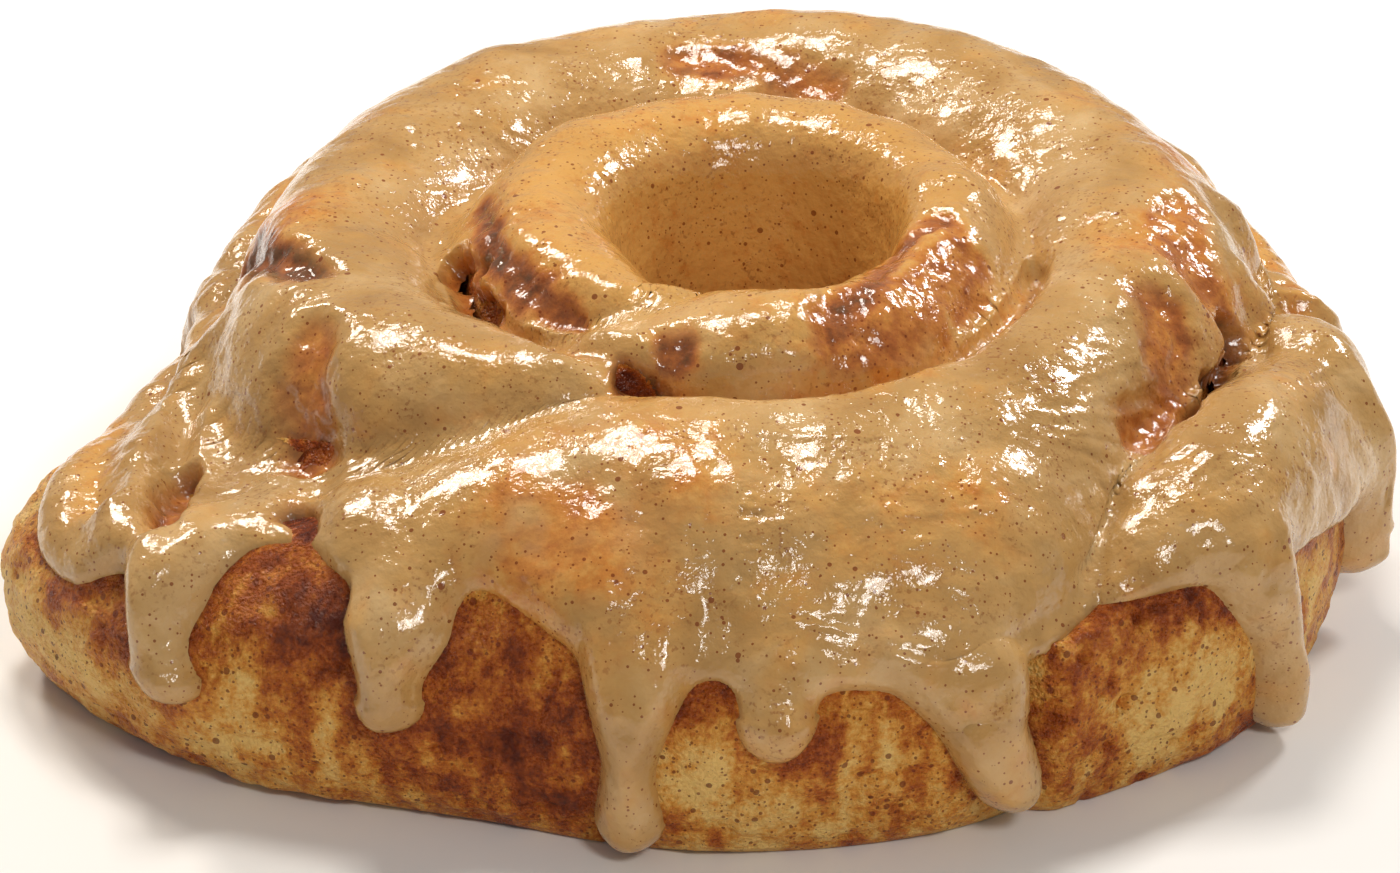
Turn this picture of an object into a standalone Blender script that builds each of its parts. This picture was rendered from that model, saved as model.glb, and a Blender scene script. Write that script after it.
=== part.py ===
"""A brown butter cinnamon roll.

One strip of dough is wound on itself round a deep well. A thin layer of cinnamon
filling runs between its wraps, and a poured skin of icing lies over the rings and
runs down the side in drips.

A place on the strip is its winding angle s, in degrees. It starts at the front of
the well and grows clockwise as seen from above, through the left, the back and the
right, with 360 for each turn. A turn angle is the same angle within one turn. Sizes
are in millimetres, and solid() turns them into metres. The front is -Y, and the
roll rests on z = 0.
"""

from types import SimpleNamespace

import bmesh
import bpy
import numpy as np

MM = 0.001

# Driving dimensions.
CENTRE = (2.1, -2.0)  # the axis of the winding, x and y
STRIP_END = 1051.0  # winding angle of the tail: 2.9 turns
WELL_RADIUS = 10.8
WELL_OFFSET = 2.2  # the well lies this far right of the axis
WELL_FLOOR = 15.5
SLOT = 1.8  # width of the space between two wraps
FILLING = 1.2  # thickness of the filling in it
ICING_GAP = 0.9  # between the icing's underside and the dough
ICING = 0.9  # thickness of the icing on the rings
STRIP_ANGLE = 7.0  # degrees between two sections of the strip

# The last wrap's outer side is open from here on, where the tail no longer covers it.
OPEN_SIDE = STRIP_END - 360


def step(x, start, end):
    """Rises smoothly from 0 to 1 as x goes from start to end."""
    t = np.clip((x - start) / (end - start), 0, 1)
    return t * t * (3 - 2 * t)


def lump(x, middle, width):
    """A smooth hump, 1 in the middle and near 0 at twice the width."""
    return np.exp(-(((x - middle) / width) ** 2))


def along(s, base, steps=(), lumps=()):
    """A size that changes along the strip: a base, then rises from one angle to
    another, then humps at an angle with a width."""
    total = np.full(np.shape(s), float(base))
    for rise, start, end in steps:
        total = total + rise * step(s, start, end)
    for height, middle, width in lumps:
        total = total + height * lump(s, middle, width)
    return total


def outer_edge(s):
    """Radius of the strip's outer side. It stays on one ring for most of a turn and
    moves out to the next ring at the front left. The widest lobe is at the left."""
    return along(
        s,
        13.2,
        steps=(
            (12.2, -14, 52),
            (2.4, 290, 340),
            (19.0, 360, 440),
            (6.1, 676, 699),
            (14.2, 738, 788),
            (-16.4, 787, 816),
            (9.2, 816, 868),
            (-3.9, 895, 955),
            (-2.2, 1022, 1051),
        ),
        lumps=(
            (-0.9, 275, 35),
            (-2.2, 458, 20),
            (5.0, 545, 55),
            (-4.5, 662, 22),
            (-2.2, 968, 24),
        ),
    )


def well_edge(s):
    """Radius of the well at its floor."""
    return WELL_RADIUS - WELL_OFFSET * np.sin(np.radians(s))


def ridge_height(s):
    return along(
        s,
        34.3,
        steps=(
            (-2.8, 345, 400),
            (-1.9, 640, 690),
            (-11.4, 735, 785),
            (6.4, 820, 885),
            (-8.0, 1022, 1051),
        ),
        lumps=((0.7, 180, 90), (3.2, 565, 60), (-2.4, 985, 22), (1.0, 1016, 14)),
    )


def ridge_place(s):
    """Where the ridge lies between the inner edge, 0, and the outer edge, 1. At the
    front the ridge is near the inner edge, and a broad slope falls from it."""
    return along(s, 0.54, steps=((-0.41, 640, 700), (0.32, 735, 786)))


def crease_height(s):
    """Height where the outer side meets the next wrap or, where it is open, of its
    widest place."""
    return along(
        s,
        31.0,
        steps=(
            (-7.5, 5, 65),
            (4.0, 290, 350),
            (-3.0, 360, 410),
            (-8.0, 412, 445),
            (-6.0, OPEN_SIDE - 10, OPEN_SIDE + 12),
        ),
        lumps=((-1.5, 180, 60),),
    )


def wrap(s, slot=0.0):
    """The strip's section at the angles s: the radii of its edges and ridge, their
    heights, and how round each side of its crown is. A slot is shared between a wrap
    and the next."""
    start = np.zeros_like(s)
    past_well = step(s, 342, 360)
    inner = np.where(
        s < 360,
        well_edge(s) * (1 - past_well) + outer_edge(start) * past_well,
        outer_edge(s - 360),
    )
    inner_height = np.where(
        s < 360,
        WELL_FLOOR * (1 - past_well) + crease_height(start) * past_well,
        crease_height(s - 360),
    )
    open_side = step(s, OPEN_SIDE - 2, OPEN_SIDE + 8)
    inner = inner + slot / 2 * past_well
    outer = outer_edge(s) - slot / 2 * (1 - open_side)
    narrow = step(s, 735, 790)
    return SimpleNamespace(
        inner=inner,
        outer=outer,
        ridge=inner + (outer - inner) * ridge_place(s),
        top=ridge_height(s),
        inner_height=inner_height,
        outer_height=crease_height(s),
        foot=along(s, 2.4, lumps=((3.4, 775, 28),)) * open_side,
        inner_power=np.where(s < 360, 2.6, 2.2),
        inner_root=np.where(s < 360, 2.2, 1.7),
        outer_power=along(s, 2.2, lumps=((-0.5, 712, 38),)),
        outer_root=1.6 + 0.4 * narrow,
    )


def crown(t, top, edge, power, root):
    """Height on a crown, with t from 0 on the ridge to 1 at the edge. A power near 2
    is round, and a smaller one is a straighter slope."""
    return edge + (top - edge) * (1 - t**power) ** (1 / root)


def outer_side(w, crown_points, side_points):
    """Radii and heights from the ridge over the outer half of the crown, then down
    the side to the foot, which turns in."""
    t = np.sin(np.linspace(0, np.pi / 2, crown_points))[None, :]
    crown_r = w.ridge + (w.outer - w.ridge) * t
    crown_z = crown(t, w.top, w.outer_height, w.outer_power, w.outer_root)
    turn = np.linspace(0, np.pi / 2, side_points)[None, 1:]
    side_r = w.outer - w.foot * (1 - np.cos(turn))
    side_z = w.outer_height * (1 - np.sin(turn))
    radii = np.concatenate([crown_r, side_r], axis=1)
    return radii, np.concatenate([crown_z, side_z], axis=1)


def place(radii, heights, s):
    """Points of these radii and heights at the angles s."""
    turn = np.radians(s)
    x = CENTRE[0] - radii * np.sin(turn)
    y = CENTRE[1] - radii * np.cos(turn)
    return np.stack([x, y, np.broadcast_to(heights, x.shape)], axis=-1)


def colour(hex_code):
    """An sRGB hex code as linear values."""
    srgb = np.array([int(hex_code[i : i + 2], 16) for i in (1, 3, 5)]) / 255
    linear = np.where(srgb <= 0.04045, srgb / 12.92, ((srgb + 0.055) / 1.055) ** 2.4)
    return (*linear, 1)


def material(name, hex_code, roughness):
    made = bpy.data.materials.new(name)
    made.use_nodes = True
    shader = made.node_tree.nodes["Principled BSDF"]
    shader.inputs["Base Color"].default_value = colour(hex_code)
    shader.inputs["Roughness"].default_value = roughness
    return made


def solid(name, points, faces, finish=None):
    """An object of these points in millimetres, its faces turned outwards."""
    mesh = bpy.data.meshes.new(name)
    mesh.from_pydata((np.asarray(points) * MM).tolist(), [], faces)
    work = bmesh.new()
    work.from_mesh(mesh)
    bmesh.ops.recalc_face_normals(work, faces=work.faces)
    work.to_mesh(mesh)
    work.free()
    made = bpy.data.objects.new(name, mesh)
    bpy.context.scene.collection.objects.link(made)
    if finish:
        mesh.materials.append(finish)
        mesh.shade_smooth()
        mesh.set_sharp_from_angle(angle=np.radians(50))
    return made


def bar_faces(sections, corners, closed=False):
    """Faces of a bar swept through these sections, each a loop of corners. A closed
    bar's last section meets its first, and an open bar has two end faces."""
    faces = []
    for i in range(sections if closed else sections - 1):
        here, ahead = i * corners, (i + 1) % sections * corners
        for j in range(corners):
            beside = (j + 1) % corners
            faces.append([here + j, here + beside, ahead + beside, ahead + j])
    if not closed:
        faces.append(list(range(corners)))
        faces.append(list(range((sections - 1) * corners, sections * corners)))
    return faces


def dough_roll():
    """The strip, from the well to the tail, joined to the floor of the well."""
    s = np.linspace(0, STRIP_END, round(STRIP_END / STRIP_ANGLE) + 1)[:, None]
    w = wrap(s, SLOT)
    t = np.sin(np.linspace(np.pi / 2, 0, 5))[None, :-1]
    inner_r = w.ridge + (w.inner - w.ridge) * t
    inner_z = crown(t, w.top, w.inner_height, w.inner_power, w.inner_root)
    outer_r, outer_z = outer_side(w, 6, 4)
    radii = np.concatenate([w.inner, inner_r, outer_r], axis=1)
    heights = np.concatenate([np.zeros_like(s), inner_z, outer_z], axis=1)
    roll = solid(
        "dough_roll",
        place(radii, heights, s).reshape(-1, 3),
        bar_faces(*radii.shape),
        material("Baked dough", "#b97a35", 0.6),
    )
    join(roll, well_floor())
    return roll


def well_floor(corners=24):
    """The dished dough at the bottom of the well, which runs into the first wrap."""
    turns = np.linspace(0, 360, corners, endpoint=False)
    rim = well_edge(turns) + 1.4
    rings = ((0.5, -0.8), (0.85, 0.4), (1.0, 1.0))
    points = [place(np.zeros(1), WELL_FLOOR - 1.2, np.zeros(1))]
    points += [place(rim * share, WELL_FLOOR + rise, turns) for share, rise in rings]
    points.append(place(rim, 0.4, turns))
    faces = [[0, 1 + j, 1 + (j + 1) % corners] for j in range(corners)]
    for ring in range(len(rings)):
        first = 1 + ring * corners
        for j in range(corners):
            beside = (j + 1) % corners
            below = first + corners
            faces.append([first + j, first + beside, below + beside, below + j])
    faces.append([1 + len(rings) * corners + j for j in range(corners)])
    return solid("well_floor", np.concatenate(points), faces)


def join(body, other):
    """Joins the other solid to the body, and hides it."""
    other.hide_render = True
    other.display_type = "WIRE"
    union = body.modifiers.new("Joined", "BOOLEAN")
    union.operation = "UNION"
    union.solver = "EXACT"
    union.object = other


def cinnamon_filling():
    """The layer in the slot between the wraps, from just over the underside up to the
    bottom of the groove."""
    s = np.linspace(0, OPEN_SIDE, round(OPEN_SIDE / STRIP_ANGLE) + 1)[:, None]
    radii = outer_edge(s) + FILLING / 2 * np.array([[-1, -1, 0, 1, 1]])
    bottom = np.full_like(s, 0.5)
    top = crease_height(s) - 2.0
    heights = np.concatenate([bottom, top, top + 0.5, top, bottom], axis=1)
    return solid(
        "cinnamon_filling",
        place(radii, heights, s).reshape(-1, 3),
        bar_faces(*radii.shape),
        material("Cinnamon filling", "#4a1f0d", 0.35),
    )


GRID = 0.5  # spacing of the radii that the icing is worked out on
BALL = 2.2  # the icing fills a groove as far as a ball of this radius sinks in
BRIDGE_BALL = 7.0  # and this one at the front, where the icing bridges the grooves
PAST_TAIL = 5.0  # degrees by which the icing reaches past the tail's end

# The drips: turn angle, height of the tip, half width, how much thicker they are.
DRIPS = (
    (44.5, 10.5, 2.9, 0.8),
    (30.5, 9.5, 3.0, 0.9),
    (9.0, 1.2, 3.3, 2.2),
    (356.5, 10.4, 3.6, 1.0),
    (344.0, 9.0, 4.6, 0.9),
    (335.0, 3.2, 3.6, 1.0),
    (305.0, 0.9, 2.8, 2.2),
    (283.0, 4.5, 3.0, 1.2),
    (108.0, 9.0, 3.4, 1.2),
    (158.0, 11.0, 4.0, 1.0),
    (196.0, 6.0, 3.4, 1.4),
    (238.0, 10.0, 4.0, 1.0),
)
SIDE_RADIUS = 54.0  # of the side that they run down, to turn widths into angles


def around(turns, middle):
    """Turn angles measured from the middle one, from -180 to 180."""
    return (turns - middle + 180) % 360 - 180


def icing_turns():
    """Turn angles of the icing's columns: even, with more of them at each drip."""
    turns = list(np.arange(0, 360, 7.5))
    for middle, _, half_width, _ in DRIPS:
        width = np.degrees(half_width / SIDE_RADIUS)
        turns = [turn for turn in turns if abs(around(turn, middle)) > 1.7 * width]
        turns += [(middle + share * width) % 360 for share in (-1.2, -0.8, -0.3, 0.3, 0.8, 1.2)]
    turns = np.sort(np.array(turns))
    apart = np.diff(turns, append=turns[0] + 360)
    return turns[apart > 0.8]


def near_drip(turns, middle, half_width):
    """1 on a drip and 0 beside it, with a steep rise between."""
    width = np.degrees(half_width / SIDE_RADIUS)
    return np.exp(-((around(turns, middle) / width) ** 6))


def icing_edge(turns):
    """Height of the icing's lower edge on the side, drips included."""
    edge = np.full(turns.shape, 17.0)
    for rise, middle, width in ((4.2, 25, 12), (3.5, 42, 8), (-1.0, 70, 14), (-3.5, 290, 12), (-1.6, 352, 9)):
        edge = edge + rise * np.exp(-((around(turns, middle) / width) ** 2))
    for middle, tip, half_width, _ in DRIPS:
        near = near_drip(turns, middle, half_width)
        edge = edge * (1 - near) + tip * near
    return edge


def dough_top(turns):
    """Heights of the dough at radii GRID apart, one row for each turn angle. Under
    the icing the first wrap reaches the well all round, past the strip's start."""
    radii = np.arange(0, 75, GRID)[None, :]
    turns = turns[:, None]
    heights = np.where(radii < well_edge(turns), WELL_FLOOR, 0.0)
    for s in (turns, turns + 360, turns + 720):
        w = wrap(np.minimum(s, STRIP_END))
        if s is turns:
            w.inner, w.inner_height = well_edge(s), WELL_FLOOR
            w.ridge = w.inner + (w.outer - w.inner) * ridge_place(s)
        t_in = np.clip((w.ridge - radii) / (w.ridge - w.inner), 0, 1)
        t_out = np.clip((radii - w.ridge) / (w.outer - w.ridge), 0, 1)
        inner = crown(t_in, w.top, w.inner_height, w.inner_power, w.inner_root)
        outer = crown(t_out, w.top, w.outer_height, w.outer_power, w.outer_root)
        here = (radii >= w.inner) & (radii <= w.outer) & (s <= STRIP_END + PAST_TAIL)
        heights = np.where(here, np.where(radii < w.ridge, inner, outer), heights)
    return heights


def rolled(heights, radius):
    """The heights that a ball of this radius touches as it rolls across the dough."""
    reach = int(radius / GRID)
    count = heights.shape[1]
    offsets = range(2 * reach + 1)
    cap = [np.sqrt(radius**2 - ((k - reach) * GRID) ** 2) for k in offsets]
    wide = np.pad(heights, ((0, 0), (reach, reach)), mode="edge")
    over = np.max([wide[:, k : k + count] + cap[k] for k in offsets], axis=0)
    wide = np.pad(over, ((0, 0), (reach, reach)), mode="edge")
    return np.min([wide[:, k : k + count] - cap[k] for k in offsets], axis=0)


def bridged(turns):
    """1 where the icing bridges the grooves, 0 where it follows them."""
    return np.maximum(1 - step(turns, 45, 75), step(turns, 350, 359))


def last_wrap(turns):
    """The sizes of the outermost wrap at each turn angle. The icing goes on past the
    tail's end as if the tail did too."""
    tail = np.minimum(turns + 720, STRIP_END)
    return wrap(np.where(turns + 720 <= STRIP_END + PAST_TAIL, tail, turns + 360)[:, None])


def icing_curves(turns, points=160):
    """The dough's outline under the icing, as radii and heights along one row for
    each turn angle: from the well's floor over the rings and down to the foot."""
    dough = dough_top(turns)
    share = bridged(turns)[:, None]
    heights = rolled(dough, BALL) * (1 - share) + rolled(dough, BRIDGE_BALL) * share
    w = last_wrap(turns)
    radii = w.ridge * np.linspace(0, 1, points)[None, :-1]
    low = np.floor(radii / GRID).astype(int)
    part = radii / GRID - low
    rows = np.arange(len(turns))[:, None]
    over = heights[rows, low] * (1 - part) + heights[rows, low + 1] * part
    side_r, side_z = outer_side(w, points // 2, points // 3)
    return np.concatenate([radii, side_r], axis=1), np.concatenate([over, side_z], axis=1)


def icing_stations(turns, radii, heights, run):
    """Where the icing's rows lie along the curves: over the ring round the well, the
    ring after it and the last wrap, then down the side to the lower edge."""
    w = last_wrap(turns)
    bridge = 1 - step(turns, 0, 50)
    first = outer_edge(turns) * (1 - bridge) + outer_edge(360.0) * bridge
    ringed = step(turns, 30, 60) * (1 - step(turns, 322, 334))
    second = outer_edge(turns + 360) * ringed + 42 * (1 - ringed)
    shoulder = (w.ridge + 0.8 * (w.outer - w.ridge))[:, 0]
    stations = []
    for i in range(len(turns)):
        widest = radii[i].argmax()
        radial = np.interp(
            [well_edge(turns[i]) + 1.6, first[i], second[i], shoulder[i]], radii[i, :widest], run[i, :widest]
        )
        top = heights[i].argmax()
        edge = np.interp(-icing_edge(turns[i : i + 1]), -heights[i, top:], run[i, top:])[0]
        a, b, c, d = radial
        d = min(d, edge - 3)
        c = min(c, d - 2)
        row = [a + (b - a) * share for share in (0, 0.22, 0.45, 0.75)]
        row += [b + (c - b) * share for share in (0, 0.16, 0.36, 0.6, 0.82)]
        row += [c + (d - c) * share for share in (0, 0.25, 0.5, 0.75)]
        row += [d + (edge - d) * share for share in (0, 0.4, 0.8, 1)]
        stations.append(row)
    return np.array(stations)


def icing():
    """A closed skin over the rings: an upper and a lower sheet, joined at both rims."""
    turns = icing_turns()
    radii, heights = icing_curves(turns)
    along_r, along_z = np.gradient(radii, axis=1), np.gradient(heights, axis=1)
    pace = np.hypot(along_r, along_z)
    out_r, out_z = -along_z / pace, along_r / pace
    hops = np.hypot(np.diff(radii, axis=1), np.diff(heights, axis=1))
    run = np.concatenate([np.zeros((len(turns), 1)), np.cumsum(hops, axis=1)], axis=1)
    stations = icing_stations(turns, radii, heights, run)

    def at_stations(values):
        return np.array([np.interp(stations[i], run[i], values[i]) for i in range(len(turns))])

    radii, heights, out_r, out_z = map(at_stations, (radii, heights, out_r, out_z))
    dripping = np.array([near_drip(turns, middle, width) for middle, _, width, _ in DRIPS])
    beside = np.array([near_drip(turns, middle, 1.6 * width) for middle, _, width, _ in DRIPS])
    more = (dripping * np.array(DRIPS)[:, 3:]).max(axis=0)
    thick = np.full(radii.shape, ICING)
    thick[:, 0] = 0.6
    thick[:, -3:] += more[:, None] * np.array([0.4, 1.0, 0.3])
    gap = np.full_like(thick, ICING_GAP)
    gap[:, -4:] += 0.9 * beside.max(axis=0)[:, None]
    gap[:, :5] += 2.1 * np.exp(-((around(turns, 1) / 14) ** 2))[:, None]
    gap[:, -4:] += 0.4 * np.exp(-((around(turns, 331) / 4) ** 2))[:, None]
    sheets = []
    for rise in (gap, gap + thick):
        above = np.maximum(heights + out_z * rise, 0.5)
        sheets.append(place(radii + out_r * rise, above, turns[:, None]))
    loops = np.concatenate([sheets[0], sheets[1][:, ::-1]], axis=1)
    return solid(
        "icing",
        loops.reshape(-1, 3),
        bar_faces(*loops.shape[:2], closed=True),
        material("Brown butter icing", "#c9a06a", 0.25),
    )


def main():
    for old in list(bpy.data.objects):
        bpy.data.objects.remove(old)
    dough_roll()
    cinnamon_filling()
    icing()


main()
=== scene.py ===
# %% [markdown]
# This notebook dresses a brown butter cinnamon roll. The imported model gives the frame:
# the rolled dough, the filling and the icing, each at its real size. Here each of them
# gets the surface that the baked thing has: crust with crags and pores, sticky sugar,
# and a poured icing that hangs in drips.

import bpy
import numpy as np
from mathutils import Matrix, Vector


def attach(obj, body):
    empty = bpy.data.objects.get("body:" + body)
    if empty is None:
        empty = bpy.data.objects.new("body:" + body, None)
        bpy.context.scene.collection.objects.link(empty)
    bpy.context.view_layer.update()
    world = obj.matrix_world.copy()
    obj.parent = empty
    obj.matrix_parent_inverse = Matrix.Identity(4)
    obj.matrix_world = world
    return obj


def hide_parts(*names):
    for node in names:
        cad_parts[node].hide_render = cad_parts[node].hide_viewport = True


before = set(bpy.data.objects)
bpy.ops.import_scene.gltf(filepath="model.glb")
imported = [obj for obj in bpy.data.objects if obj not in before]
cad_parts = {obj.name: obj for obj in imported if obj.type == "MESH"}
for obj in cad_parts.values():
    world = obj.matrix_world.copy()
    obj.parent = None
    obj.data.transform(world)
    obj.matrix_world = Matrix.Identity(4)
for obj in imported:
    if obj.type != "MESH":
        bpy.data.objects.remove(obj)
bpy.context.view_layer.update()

# %% [markdown]
# Sizes below are in millimetres, as a baker would measure them, and one constant turns
# them into metres where a mesh is made. Two small functions do most of the shaping: a
# smooth step from 0 to 1, and a sum of steps and humps along the strip.

# %% Steps and humps
MM = 0.001


def step(x, start, end):
    """Rises smoothly from 0 to 1 as x goes from start to end: 3t^2 - 2t^3."""
    t = np.clip((x - start) / (end - start), 0, 1)
    return t * t * (3 - 2 * t)


def lump(x, middle, width):
    """A bell curve: 1 in the middle and near 0 at twice the width."""
    return np.exp(-(((x - middle) / width) ** 2))


def along(s, base, steps=(), lumps=()):
    """A base value, plus each rise times its step, plus each height times its lump."""
    total = np.full(np.shape(s), float(base))
    for rise, start, end in steps:
        total = total + rise * step(s, start, end)
    for height, middle, width in lumps:
        total = total + height * lump(s, middle, width)
    return total


def around(turns, middle):
    """Turn angles measured from the middle one, from -180 to 180."""
    return (turns - middle + 180) % 360 - 180


print("half way up a step:", step(0.5, 0, 1))

# %% [markdown]
# Crust is uneven at every size, from lumps as wide as a finger to grains of sugar. A
# displacement texture could do it, but the export drops those, so the unevenness is
# worked out here and moves the points themselves. Random values sit at the corners of
# a lattice of cubes and are blended inside each cube. Several sizes are added up, each
# half as large and half as strong as the one before.

# %% Uneven surfaces
LATTICE = 32


def cloud(points, size, seed):
    """Smooth random values from -1 to 1, in blobs of this size: the values at a cube's
    eight corners, weighted by how near each corner is."""
    values = np.random.default_rng(seed).uniform(-1, 1, (LATTICE,) * 3)
    scaled = points / size + seed % 17
    cell = np.floor(scaled).astype(int)
    part = scaled - cell
    part = part**3 * (part * (part * 6 - 15) + 10)
    total = np.zeros(points.shape[:-1])
    for corner in np.ndindex(2, 2, 2):
        weight = np.prod(np.where(corner, part, 1 - part), axis=-1)
        x, y, z = np.moveaxis((cell + corner) % LATTICE, -1, 0)
        total += weight * values[x, y, z]
    return total


def clouds(points, size, seed, count=3):
    """Clouds of this size and of half, a quarter and so on, each half as strong."""
    layers = [cloud(points, size / 2**k, seed + k) / 2**k for k in range(count)]
    return np.sum(layers, axis=0)


def pits(points, spacing, radius, seed):
    """1 at the centre of round pits and 0 outside them: each cube of the lattice holds
    one centre at a random place, and the nearest of the 27 around a point counts."""
    rng = np.random.default_rng(seed)
    places = rng.uniform(0.15, 0.85, (LATTICE, LATTICE, LATTICE, 3))
    wide = rng.uniform(0.2, 1, (LATTICE,) * 3)
    cell = np.floor(points / spacing).astype(int)
    deep = np.zeros(points.shape[:-1])
    for hop in np.ndindex(3, 3, 3):
        beside = cell + hop - 1
        x, y, z = np.moveaxis(beside % LATTICE, -1, 0)
        away = np.linalg.norm(points - (beside + places[x, y, z]) * spacing, axis=-1)
        reach = radius * wide[x, y, z]
        deep = np.maximum(deep, np.clip(1 - (away / reach) ** 2, 0, 1) * wide[x, y, z])
    return deep


print("a cloud at three places:", cloud(np.array([[1.0, 2, 3], [4, 5, 6], [7, 8, 9]]), 2, 1))

# %% [markdown]
# The dough is a strip wound on itself. A place on it is its winding angle s in degrees,
# from the front of the well clockwise as seen from above, 360 for each turn. These are
# the laws that the solid follows: the outer edge's radius, the ridge and the creases.
# The same laws with finer steps give a surface that lies where the solid does. In each
# law a step is a rise and the angles where it starts and ends, and a lump is a height,
# the angle of its middle and its width.

# %% The strip's laws
CENTRE = (2.1, -2.0)
STRIP_END = 1051.0
OPEN_SIDE = STRIP_END - 360
WELL_RADIUS = 10.8
WELL_OFFSET = 2.2
WELL_FLOOR = 15.5
WELL_SLUMP = 1.5  # how far the well's rim slumped outwards at the front
SLOT = 1.8
RING_EDGE = 27.8
RING_TOP = 33.6
RING_RIDGE = 0.54  # the ring's ridge between its inner edge, 0, and its outer edge, 1


def outer_edge(s):
    """Radius of the strip's outer side: rings joined by steps at the front left."""
    return along(
        s,
        13.2,
        steps=(
            (12.2, -14, 52),
            (2.4, 290, 340),
            (19.0, 360, 440),
            (6.1, 676, 699),
            (14.2, 738, 788),
            (-16.4, 787, 816),
            (9.2, 816, 868),
            (-3.9, 895, 955),
            (-2.2, 1022, 1051),
        ),
        lumps=(
            (-0.9, 275, 35),
            (-2.2, 458, 20),
            (5.0, 545, 55),
            (-4.5, 662, 22),
            (-2.2, 968, 24),
        ),
    )


def well_edge(s):
    """Radius of the well: a circle whose centre lies right of the axis, and a rim that
    slumped a little outwards at the front."""
    circle = WELL_RADIUS - WELL_OFFSET * np.sin(np.radians(s))
    return circle + WELL_SLUMP * lump(around(s, 0), 0, 45)


def ridge_height(s):
    """Height of the top of the strip."""
    return along(
        s,
        34.3,
        steps=(
            (-2.8, 345, 400),
            (-1.9, 640, 690),
            (-11.4, 735, 785),
            (6.4, 820, 885),
            (-8.0, 1022, 1051),
        ),
        lumps=((0.7, 180, 90), (3.2, 565, 60), (-2.4, 985, 22), (1.0, 1016, 14)),
    )


def ridge_place(s):
    """Where the ridge lies between the inner edge, 0, and the outer edge, 1."""
    return along(s, RING_RIDGE, steps=((-0.41, 640, 700), (0.32, 735, 786)))


def crease_height(s):
    """Height where the outer side meets the next wrap or, where it is open, of its
    widest place."""
    return along(
        s,
        31.0,
        steps=(
            (-7.5, 5, 65),
            (4.0, 290, 350),
            (-3.0, 360, 410),
            (-8.0, 412, 445),
            (-6.0, OPEN_SIDE - 10, OPEN_SIDE + 12),
        ),
        lumps=((-1.5, 180, 60),),
    )


turn_ends = outer_edge(np.array([360, 720, 1050]))
print("strip's outer radius at the end of each turn:", turn_ends.round(1))

# %% [markdown]
# Across the strip, the section is a crown: it rises from the inner edge to the ridge
# and falls to the outer edge as a superellipse. Where the side is open it goes on down
# the wall and turns in at the foot.

# %% The strip's section
TAIL_END = STRIP_END + 3.0  # the soft end bulges a little past the last full section
TAIL_ROUND = 5.0  # degrees over which it is rounded off
TAIL_LEAST = 0.01  # share of the section that is left at the very end
TAIL_TUCK = 0.6  # how far the end is tucked in, besides closing the slot
ROUNDED_UNTIL = 400  # degrees of the strip over which its front is rounded as a ring


def wrap(s, slot=0.0):
    """The section's sizes at the angles s, by name. In the first turn the inner edge is
    the well's, until it meets the strip's own start at the front. After that it is the
    outer edge of the turn before."""
    start = np.zeros_like(s)
    past_well = step(s, 342, 360)
    inner = np.where(
        s < 360,
        well_edge(s) * (1 - past_well) + outer_edge(start) * past_well,
        outer_edge(s - 360),
    )
    inner_height = np.where(
        s < 360,
        WELL_FLOOR * (1 - past_well) + crease_height(start) * past_well,
        crease_height(s - 360),
    )
    open_side = step(s, OPEN_SIDE - 2, OPEN_SIDE + 8)
    inner = inner + slot / 2 * past_well
    outer = outer_edge(s) - slot / 2 * (1 - open_side)
    return {
        "inner": inner,
        "outer": outer,
        "ridge": inner + (outer - inner) * ridge_place(s),
        "top": ridge_height(s),
        "inner_height": inner_height,
        "outer_height": crease_height(s),
        "foot": along(s, 2.4, lumps=((3.4, 775, 28),)) * open_side,
        "inner_power": np.where(s < 360, 2.6 - 0.8 * lump(around(s, 0), 0, 60), 2.2),
        "inner_root": np.where(s < 360, 2.2, 1.7),
        "outer_power": along(s, 2.2, lumps=((-0.5, 712, 38),)),
        "outer_root": 1.6 + 0.4 * step(s, 735, 790),
    }


def crown(t, top, edge, power, root):
    """Height on a crown, t from 0 on the ridge to 1 at the edge: the edge's height plus
    the rise times (1 - t^power)^(1/root)."""
    return edge + (top - edge) * (1 - t**power) ** (1 / root)


def rounded_front(radii, heights, turns):
    """The strip starts thin at the front, and the ring is round there all the same: the
    heights inside its ridge stay under one crown from the well to the ring's edge."""
    inner = well_edge(turns)
    ridge = inner + RING_RIDGE * (RING_EDGE - inner)
    t = np.clip((ridge - radii) / (ridge - inner), 0, 1)
    cap = crown(t, RING_TOP, WELL_FLOOR, 1.9, 2.2)
    front = np.maximum(1 - step(turns, 25, 50), step(turns, 315, 338)) * (radii < ridge)
    return heights + (np.minimum(heights, cap) - heights) * front


def place(radii, heights, s):
    """Points at these radii and heights at the angles s."""
    turn = np.radians(s)
    x = CENTRE[0] - radii * np.sin(turn)
    y = CENTRE[1] - radii * np.cos(turn)
    return np.stack([x, y, np.broadcast_to(heights, x.shape)], axis=-1)


def outer_side(w, crown_points, side_points):
    """Radii and heights from the ridge over the outer half of the crown, down the wall
    and in to the foot along a quarter of an ellipse."""
    t = np.sin(np.linspace(0, np.pi / 2, crown_points))[None, :]
    crown_r = w["ridge"] + (w["outer"] - w["ridge"]) * t
    crown_z = crown(t, w["top"], w["outer_height"], w["outer_power"], w["outer_root"])
    turn = np.linspace(0, np.pi / 2, side_points)[None, 1:]
    side_r = w["outer"] - w["foot"] * (1 - np.cos(turn))
    side_z = w["outer_height"] * (1 - np.sin(turn))
    return np.concatenate([crown_r, side_r], axis=1), np.concatenate([crown_z, side_z], axis=1)


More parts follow.
